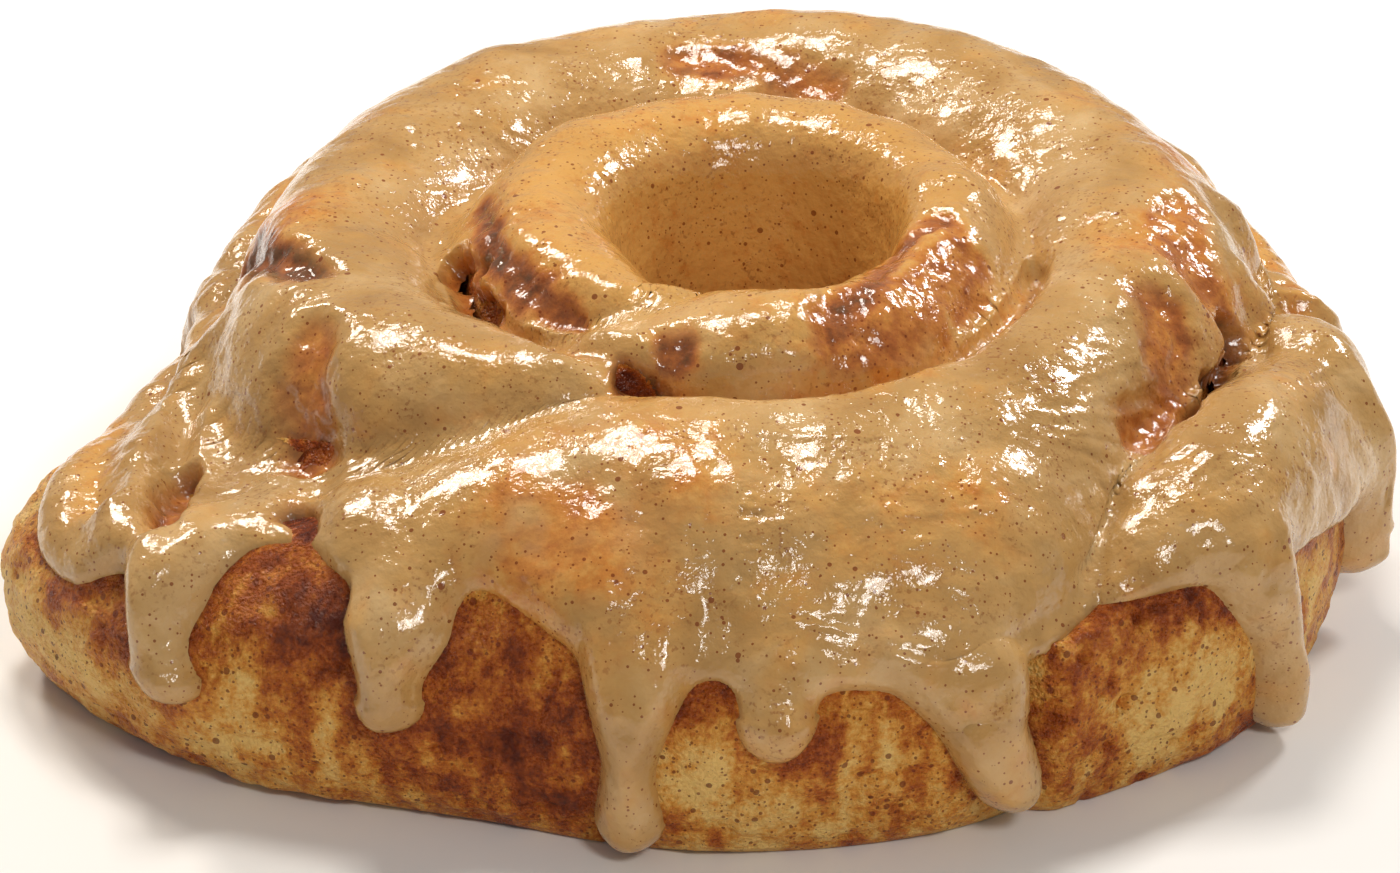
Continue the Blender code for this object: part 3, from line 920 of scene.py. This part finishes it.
def icing_thickness(points, turns, heights):
    """Thickness of the icing along the normal, negative where there is none."""
    inside, fuller = shore(points, turns, heights)
    depth = THICK + fuller
    share = np.clip(inside / EDGE, 0, 1)
    thick = np.where(inside > 0, depth * np.sqrt(share * (2 - share)), STEEP * inside)
    for line, half_width, rise in RIVULETS:
        thick = thick + rise * near_line(points, line, half_width, 1.6)
    return thick - FOLD_DEPTH * near_line(points, CREASE, 1.4, 1.2)


def icing_swells(points, turns, radii, heights):
    """Slow swells, folds that run downhill, and bubbles, in millimetres."""
    across = np.radians(turns) * radii / 1.7
    downhill = np.stack([across, radii / 7 - heights / 7, heights / 30], axis=-1)
    skin = np.clip(step(heights, 30, 24) + 0.25, 0, 1)
    swells = SWELL * clouds(points, 10, 71, 2) + RIPPLE * clouds(points, 3.2, 75, 2)
    folds = SKIN_FOLD * skin * clouds(downhill, 1.0, 78, 2)
    folds = folds * step(cloud(points, 9, 77), -0.2, 0.4)
    bubbles = BUBBLE * pits(points, 2.2, 0.75, 79) * step(cloud(points, 8, 81), 0.05, 0.4)
    return swells + folds + bubbles


turn_grid = np.broadcast_to(icing_turns[:, None], bed_radii.shape)
bed = place(bed_radii, bed_heights, turn_grid)
bed_normals = grid_normals(bed, True)
bed = bed + bed_normals * crust_lumps(bed, bed_heights)[..., None]
thick, bare = uncovered(bed, icing_thickness(bed, turn_grid, bed_heights))

# only a film clings to the well's wall, and it ends above the floor
well_wall = 1 - step(bed_radii - well_edge(turn_grid), 0.5, 4.5) * step(bed_heights, 24, 32)
well_wall = well_wall * (1 - step(bed_radii, 18, 22))
low_in_well = (1 - step(bed_heights, 17, 20)) * (bed_radii < 20)
thick = thick * (1 - 0.75 * well_wall) - 1.2 * low_in_well

# a thin glaze takes the crust's grain and has no swells of its own
swell = icing_swells(bed, turn_grid, bed_radii, bed_heights)
swell = swell * step(thick, 0.1, 1.2) * (1 - 0.6 * well_wall)
swell = swell + GLAZE_GRAIN * bare * clouds(bed, 1.2, 31, 2)
icing_points = bed + bed_normals * (thick + swell)[..., None]
icing_points[..., 2] = np.maximum(icing_points[..., 2], LOWEST)
print("icing between", thick.min().round(1), "and", thick.max().round(1), "mm thick")

# %% [markdown]
# The sheet is cut into three bands so that each stays small, and faces that lie well
# under the crust are left out. How thin the icing is goes to the material, because a
# thin glaze shows the golden crust under it: on top of the ring, in the well, in the
# fold, at the glows and in soft patches everywhere. The fold is also darkened as painted
# shade in the crease.

# %% The icing's pieces
BURIED = -0.5

# name, and the first and last of the rows of faces
BANDS = (("icing_ring", 0, 92), ("icing_coil", 92, 182), ("icing_skirt", 182, ICING_ROWS - 1))


def show_through():
    """How thin the icing looks and how browned the crust under it is, each 0 to 1."""
    ring_top = lump(bed_radii, 17, 7.5) * step(bed_heights, 20, 30)
    uneven = 0.35 * clouds(bed, 7, 83) + 0.25 * clouds(bed, 2, 86)
    shaded_fold = near_line(bed, CREASE, 0.5, 1.2)
    glows = glow(bed)
    ring_top = ring_top * (1 + 0.3 * lump(around(turn_grid, 80), 0, 60))
    ring_top = 0.8 * ring_top + glows * (1 + clouds(bed, 5, 89, 2))
    patches = 0.4 * step(uneven, 0.1, 0.6) + 0.4 * uneven
    thin = bare + ring_top + well_wall + patches + 0.35 * shaded_fold
    # the fold round the ring is darker: partly crust through thin icing, partly painted shade in the
    # crease
    browned = sugared(bed) + 0.25 * uneven + 0.45 * shaded_fold + 0.32 * glows
    return {"thin": np.clip(thin, 0, 1), "browned": np.clip(browned, 0, 1)}


def icing_pieces():
    """Three bands of the one sheet, with the whole sheet's normals."""
    values = show_through()
    normals = grid_normals(icing_points, True)
    faces = grid_faces(*bed_radii.shape, closed_rows=True)
    seen = (thick > BURIED).ravel()
    pieces = []
    for name, first, last in BANDS:
        band = faces[:, first:last].reshape(-1, 4)
        band = band[seen[band].any(axis=1)]
        piece = make_piece(name, icing_points, band, values, normals)
        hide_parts("icing")
        pieces.append(piece)
    return pieces


icing = icing_pieces()

# %% [markdown]
# Colours are noted as sRGB hex values, as they would be picked from a swatch, and one
# function turns them into the linear values that a shader needs. Another adds a node
# with its settings and links, and the ones after it each add one kind of node.

# %% Colours and nodes


def colour(hex_code):
    """sRGB to linear: below 0.04045 divide by 12.92, above it a power of 2.4."""
    srgb = np.array([int(hex_code[i : i + 2], 16) for i in (1, 3, 5)]) / 255
    linear = np.where(srgb <= 0.04045, srgb / 12.92, ((srgb + 0.055) / 1.055) ** 2.4)
    return (*linear.tolist(), 1)


def add_node(tree, kind, settings=None, inputs=None):
    """A node of this kind. An input is a value, or the output of another node."""
    made = tree.nodes.new(kind)
    for name, value in (settings or {}).items():
        setattr(made, name, value)
    for name, value in (inputs or {}).items():
        if isinstance(value, bpy.types.NodeSocket):
            tree.links.new(value, made.inputs[name])
        else:
            made.inputs[name].default_value = value
    return made


def new_material(name):
    """An empty material and its node tree."""
    made = bpy.data.materials.new(name)
    made.use_nodes = True
    made.node_tree.nodes.clear()
    return made, made.node_tree


def give_surface(tree, inputs):
    """The material's surface: one Principled shader with these inputs."""
    shader = add_node(tree, "ShaderNodeBsdfPrincipled", None, inputs)
    add_node(tree, "ShaderNodeOutputMaterial", None, {"Surface": shader.outputs["BSDF"]})


def place_in_piece(tree):
    """Where a point is on the piece, in metres."""
    return add_node(tree, "ShaderNodeTexCoord").outputs["Object"]


def point_value(tree, label):
    """The value that the mesh's points carry under this label."""
    return add_node(tree, "ShaderNodeAttribute", {"attribute_name": label}).outputs["Fac"]


def per_metre(millimetres):
    """A pattern's scale from the size of one of its blobs."""
    return 1000 / millimetres


def noise(tree, here, size, detail, roughness=0.5, distortion=0.0):
    """Smooth noise from 0 to 1, in blobs of this size in millimetres."""
    inputs = {"Vector": here, "Scale": per_metre(size), "Detail": detail}
    inputs.update({"Roughness": roughness, "Distortion": distortion})
    return add_node(tree, "ShaderNodeTexNoise", None, inputs).outputs["Fac"]


def maths(tree, operation, *numbers):
    """What one Math node gives. MULTIPLY_ADD is the first times the second, plus the
    third."""
    inputs = dict(enumerate(numbers))
    return add_node(tree, "ShaderNodeMath", {"operation": operation}, inputs).outputs[0]


def mapped(tree, value, limits=(0, 1), ends=(0, 1)):
    """The value moved from between the limits to between the ends, and held there."""
    inputs = {"Value": value, "From Min": limits[0], "From Max": limits[1]}
    inputs.update({"To Min": ends[0], "To Max": ends[1]})
    return add_node(tree, "ShaderNodeMapRange", None, inputs).outputs["Result"]


def ramp(tree, value, stops):
    """The colour at this value on a ramp of (place, hex) stops."""
    made = add_node(tree, "ShaderNodeValToRGB", None, {"Fac": value})
    elements = made.color_ramp.elements
    while len(elements) < len(stops):
        elements.new(0.5)
    for element, (where, hex_code) in zip(elements, stops):
        element.position = where
        element.color = colour(hex_code)
    return made.outputs["Color"]


def mixed(tree, share, under, over):
    """The first colour with this share of the second over it."""
    inputs = {0: share, 6: under, 7: over}
    return add_node(tree, "ShaderNodeMix", {"data_type": "RGBA"}, inputs).outputs[2]


def bumped(tree, height, strength, distance):
    """Normals tilted by this height pattern, whose full height is in metres."""
    inputs = {"Strength": strength, "Distance": distance, "Height": height}
    return add_node(tree, "ShaderNodeBump", None, inputs).outputs["Normal"]


def specks(tree, here, spacing, widest, share):
    """1 on round specks and 0 elsewhere. This share of the cells holds a speck, and its
    radius is anything up to the widest, in millimetres."""
    cells = add_node(tree, "ShaderNodeTexVoronoi", None, {"Vector": here, "Scale": per_metre(spacing)})
    lot = add_node(tree, "ShaderNodeSeparateColor", None, {"Color": cells.outputs["Color"]})
    radius = mapped(tree, lot.outputs["Red"], (1 - share, 1), (0, widest / spacing))
    return maths(tree, "LESS_THAN", cells.outputs["Distance"], radius)


print("icing tan in linear values:", colour("#bc9258"))

# %% [markdown]
# Baked sweet dough: wheat starch and egg, oven-browned. It is matt where it is pale and
# satin where sugar caramelised. Its IOR is about 1.45, and light goes a little way into
# it. The browning is the point's own value plus noise of 2 mm and 0.5 mm, so the tone
# changes as finely as the crumb does; the point's value also carries painted shade under
# the icing's edge, in the pores and on the well's floor. A grain too fine for the mesh
# is a bump.

# %% Baked dough
CRUST_TONES = (
    (0.0, "#efc373"),
    (0.26, "#de9a40"),
    (0.46, "#c06c20"),
    (0.64, "#a04a10"),
    (0.82, "#80350a"),
    (1.0, "#5a1e07"),
)
CRUST_NOISE_MEAN = 0.83  # of the two noises together, taken off again
CINNAMON = "#742806"


def baked_dough():
    """Pale crumb to dark crust by how browned it is, with specks of cinnamon."""
    made, tree = new_material("Baked sweet dough")
    here = place_in_piece(tree)
    blotch = noise(tree, here, 1.8, 6, 0.66)
    crumb = noise(tree, here, 0.5, 3, 0.6)
    # the points' browned value holds painted shade as well as browning
    uneven = maths(tree, "MULTIPLY_ADD", blotch, 0.9, point_value(tree, "browned"))
    uneven = maths(tree, "MULTIPLY_ADD", crumb, 0.75, uneven)
    tone = maths(tree, "SUBTRACT", uneven, CRUST_NOISE_MEAN)
    fine_specks = specks(tree, here, 0.5, 0.16, 0.95)
    wide_specks = specks(tree, here, 1.2, 0.34, 0.75)
    cinnamon = maths(tree, "MAXIMUM", fine_specks, wide_specks)
    strength = maths(tree, "MULTIPLY", cinnamon, 0.75)
    give_surface(
        tree,
        {
            "Base Color": mixed(tree, strength, ramp(tree, tone, CRUST_TONES), colour(CINNAMON)),
            "Roughness": mapped(tree, tone, (0, 1), (0.5, 0.16)),
            "IOR": 1.45,
            "Specular IOR Level": 0.36,
            "Subsurface Weight": 0.1,
            "Subsurface Radius": (1.0, 0.5, 0.2),
            "Subsurface Scale": 0.0015,
            "Normal": bumped(tree, noise(tree, here, 0.35, 4), 1.0, 0.0007),
        },
    )
    return made


dough_finish = baked_dough()
for piece in (inner_wraps, outer_wrap, well_bottom):
    piece.data.materials.append(dough_finish)
print("finish:", dough_finish.name)

# %% [markdown]
# The filling is a dark caramel of brown sugar and cinnamon. Set sugar is smooth, so it
# is glossy, with an IOR near 1.5.

# %% Caramelised filling


def caramel():
    """Dark brown that varies with a noise of about 1 mm, which also makes its bump."""
    made, tree = new_material("Cinnamon caramel")
    here = place_in_piece(tree)
    grain = noise(tree, here, 1.2, 5)
    give_surface(
        tree,
        {
            "Base Color": ramp(tree, grain, ((0.3, "#1f0703"), (0.55, "#3f150a"), (0.75, "#7a3614"))),
            "Roughness": 0.24,
            "IOR": 1.5,
            "Normal": bumped(tree, grain, 0.5, 0.0004),
        },
    )
    return made


caramel_finish = caramel()
cinnamon_layer.data.materials.append(caramel_finish)
print("finish:", caramel_finish.name)

# %% [markdown]
# Brown butter icing: icing sugar, milk and butter cooked until its solids brown. It is
# wet and glossy, an opaque tan where it is thick, and it lets the crust's gold through
# where it is thin. Light spreads a millimetre or two inside it. The specks are browned
# milk solids and cinnamon, 0.1 to 0.6 mm across, with drifts of dust between them.

# %% Brown butter icing
TAN_TONES = ((0.25, "#a57a42"), (0.5, "#bc9258"), (0.75, "#d1ad79"))
GLAZE_TONES = ((0.0, "#d8a052"), (0.3, "#ca7f32"), (0.6, "#a7561c"), (0.85, "#7c340e"), (1.0, "#4f1c08"))
MOTTLE_MEAN = 0.64  # of the mottled noise under the glaze, taken off again
MILK_SOLIDS = "#7a3207"

# millimetres between specks, radius of the largest, share of the places that have one
ICING_SPECKS = ((0.55, 0.13, 0.9), (1.1, 0.2, 0.7), (2.4, 0.32, 0.6))


def icing_specks(tree, here):
    """1 on specks of three sizes, and up to 0.55 on the dust that drifts between them."""
    dust = mapped(tree, noise(tree, here, 0.45, 2), (0.57, 0.68), (0, 0.55))
    drift = mapped(tree, noise(tree, here, 6, 2), (0.45, 0.6))
    found = maths(tree, "MULTIPLY", dust, drift)
    for spacing, widest, share in ICING_SPECKS:
        found = maths(tree, "MAXIMUM", found, specks(tree, here, spacing, widest, share))
    return found


def brown_butter_icing():
    """Tan in slow swirls, with the glazed crust's colours where it is thin."""
    made, tree = new_material("Brown butter icing")
    here = place_in_piece(tree)
    tan = ramp(tree, noise(tree, here, 9, 5, 0.55, 0.6), TAN_TONES)
    mottle = noise(tree, here, 1.6, 6, 0.65)
    # the browned value holds painted shade in the fold round the ring as well
    under = maths(tree, "MULTIPLY_ADD", mottle, 1.2, point_value(tree, "browned"))
    glaze = ramp(tree, maths(tree, "SUBTRACT", under, MOTTLE_MEAN), GLAZE_TONES)
    body = mixed(tree, maths(tree, "MULTIPLY", point_value(tree, "thin"), 0.85), tan, glaze)
    strength = maths(tree, "MULTIPLY", icing_specks(tree, here), 0.8)
    give_surface(
        tree,
        {
            "Base Color": mixed(tree, strength, body, colour(MILK_SOLIDS)),
            "Roughness": 0.15,
            "IOR": 1.45,
            "Subsurface Weight": 0.12,
            "Subsurface Radius": (1.0, 0.6, 0.3),
            "Subsurface Scale": 0.0016,
            "Coat Weight": 0.35,
            "Coat Roughness": 0.06,
            "Normal": bumped(tree, noise(tree, here, 1.4, 3), 0.6, 0.0005),
        },
    )
    return made


icing_finish = brown_butter_icing()
for piece in icing:
    piece.data.materials.append(icing_finish)
print("finish:", icing_finish.name)

# %% [markdown]
# A plain pale floor and studio light. Wet icing shows its shape by small highlights, so
# the softboxes are small: one above and behind the roll, one behind it on each side,
# and one in front on the right that opens up the shadows. The view transform is
# Standard, because the default one greys the browns and the tan.

# %% Floor and light
FLOOR_HALF = 3.0  # metres from its middle to its edges

# name, place in metres, side in metres, watts, colour
SOFTBOXES = (
    ("softbox_top", (-0.06, 0.21, 0.58), 0.15, 1.95, "#fffaf2"),
    ("softbox_back_left", (-0.30, 0.34, 0.46), 0.12, 1.6, "#fff6ea"),
    ("softbox_back_right", (0.36, 0.30, 0.40), 0.10, 1.3, "#ffffff"),
    ("softbox_front", (0.20, -0.50, 0.50), 0.12, 1.35, "#fffdf8"),
)
LIT_POINT = Vector((0, 0, 0.02))  # the middle of the roll, which every softbox faces


def pale_floor():
    """A square on the ground under the roll."""
    made, tree = new_material("Pale floor")
    give_surface(tree, {"Base Color": colour("#f4f2ef"), "Roughness": 0.6})
    mesh = bpy.data.meshes.new("pale_floor")
    corners = [(x * FLOOR_HALF, y * FLOOR_HALF, 0) for x, y in ((-1, -1), (1, -1), (1, 1), (-1, 1))]
    mesh.from_pydata(corners, [], [(0, 1, 2, 3)])
    mesh.materials.append(made)
    floor = bpy.data.objects.new("pale_floor", mesh)
    bpy.context.scene.collection.objects.link(floor)


def softbox(name, where, size, watts, hex_code):
    """A square light turned to the middle of the roll."""
    light = bpy.data.lights.new(name, "AREA")
    light.size = size
    light.energy = watts
    light.color = colour(hex_code)[:3]
    made = bpy.data.objects.new(name, light)
    made.location = where
    made.rotation_euler = (LIT_POINT - made.location).to_track_quat("-Z", "Y").to_euler()
    bpy.context.scene.collection.objects.link(made)


pale_floor()
for name, where, size, watts, hex_code in SOFTBOXES:
    softbox(name, where, size, watts, hex_code)
world = bpy.data.worlds.new("Studio")
world.use_nodes = True
world.node_tree.nodes["Background"].inputs["Color"].default_value = colour("#f6f4f2")
world.node_tree.nodes["Background"].inputs["Strength"].default_value = 0.27
bpy.context.scene.view_settings.view_transform = "Standard"
bpy.context.scene.world = world

# %% [markdown]
# The camera looks from the front, 28 degrees down, from 0.4 m away. Its lens is chosen
# so that the roll fills the frame as it does in the photograph.

# %% Camera
IMAGE_WIDTH = 1400
DISTANCE = 0.4
DOWN = np.radians(28.0)
TARGET = Vector((-0.0009, -0.0025, 0.0117))
PIXELS_PER_METRE = 11070.0  # at the target
SENSOR = 36.0

camera = bpy.data.objects.new("camera", bpy.data.cameras.new("camera"))
bpy.context.scene.collection.objects.link(camera)
camera.data.sensor_width = SENSOR
camera.data.lens = PIXELS_PER_METRE * DISTANCE * SENSOR / IMAGE_WIDTH
camera.data.clip_start = 0.01
camera.location = TARGET + DISTANCE * Vector((0, -np.cos(DOWN), np.sin(DOWN)))
camera.rotation_euler = (TARGET - camera.location).to_track_quat("-Z", "Y").to_euler()
bpy.context.scene.camera = camera
print("lens:", round(camera.data.lens, 1), "mm")
